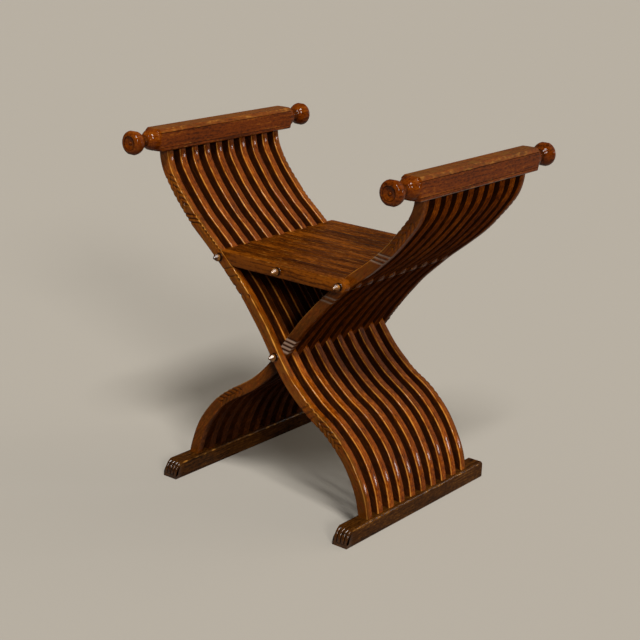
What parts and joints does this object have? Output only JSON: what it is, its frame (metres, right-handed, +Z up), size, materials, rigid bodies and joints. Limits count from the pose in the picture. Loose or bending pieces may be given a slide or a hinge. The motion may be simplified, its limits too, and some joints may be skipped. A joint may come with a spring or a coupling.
{
  "type": "savonarola chair",
  "caption": "Folding armchair of crossed frames of S-shaped wooden ribs with a hinged slat seat, turned arm ends and paw-fronted foot rails.",
  "frame": {"origin": "on the floor under the middle of the chair", "axes": "+Z up, -Y towards the front of the chair, +X to the right of someone who looks at the front"},
  "size_m": [0.649, 0.55, 0.71],
  "materials": {
    "rib_wood": "glossy varnished walnut, carved on the front and back ribs",
    "arm_wood": "glossy varnished walnut",
    "foot_wood": "worn varnished walnut",
    "slat_wood": "satin varnished walnut",
    "rod_wood": "bare hardwood dowel",
    "button_wood": "turned and varnished hardwood"
  },
  "bodies": {
    "frame_a": {"rib_a_01": "rib_wood", "rib_a_02": "rib_wood", "rib_a_03": "rib_wood", "rib_a_04": "rib_wood", "rib_a_05": "rib_wood", "rib_a_06": "rib_wood", "rib_a_07": "rib_wood", "rib_a_08": "rib_wood", "rib_a_09": "rib_wood", "rib_a_10": "rib_wood", "arm_left": "arm_wood", "foot_rail_right": "foot_wood", "rod_seat_left": "rod_wood", "button_seat_left_front": "button_wood", "button_seat_left_back": "button_wood", "rod_pivot": "rod_wood", "button_pivot_front": "button_wood", "button_pivot_back": "button_wood"},
    "frame_b": {"rib_b_01": "rib_wood", "rib_b_02": "rib_wood", "rib_b_03": "rib_wood", "rib_b_04": "rib_wood", "rib_b_05": "rib_wood", "rib_b_06": "rib_wood", "rib_b_07": "rib_wood", "rib_b_08": "rib_wood", "rib_b_09": "rib_wood", "rib_b_10": "rib_wood", "arm_right": "arm_wood", "foot_rail_left": "foot_wood", "rod_seat_right": "rod_wood", "button_seat_right_front": "button_wood", "button_seat_right_back": "button_wood"},
    "right_slats": {"slat_right_01": "slat_wood", "slat_right_02": "slat_wood", "slat_right_03": "slat_wood", "slat_right_04": "slat_wood", "slat_right_05": "slat_wood", "slat_right_06": "slat_wood", "slat_right_07": "slat_wood", "slat_right_08": "slat_wood", "slat_right_09": "slat_wood", "slat_right_10": "slat_wood", "rod_seat_middle": "rod_wood", "button_seat_middle_front": "button_wood", "button_seat_middle_back": "button_wood"},
    "left_slats": {"slat_left_01": "slat_wood", "slat_left_02": "slat_wood", "slat_left_03": "slat_wood", "slat_left_04": "slat_wood", "slat_left_05": "slat_wood", "slat_left_06": "slat_wood", "slat_left_07": "slat_wood", "slat_left_08": "slat_wood", "slat_left_09": "slat_wood", "slat_left_10": "slat_wood"}
  },
  "joints": [
    {"name": "fold", "type": "hinge", "parent": "frame_a", "child": "frame_b", "pos_m": [0, 0, 0.30279], "axis": [0, -1, 0], "range_deg": [0, 50]},
    {"name": "seat_hinge_right", "type": "hinge", "parent": "frame_b", "child": "right_slats", "pos_m": [0.14671, 0, 0.47396], "axis": [0, 1, 0], "range_deg": [0, 90.6]},
    {"name": "seat_hinge_middle", "type": "hinge", "parent": "right_slats", "child": "left_slats", "pos_m": [0, 0, 0.47396], "axis": [0, -1, 0], "range_deg": [0, 131.2]}
  ],
  "couplings": [
    {"joint": "seat_hinge_right", "follows": "fold", "ratio": 1.8118},
    {"joint": "seat_hinge_middle", "follows": "fold", "ratio": 2.6237}
  ]
}
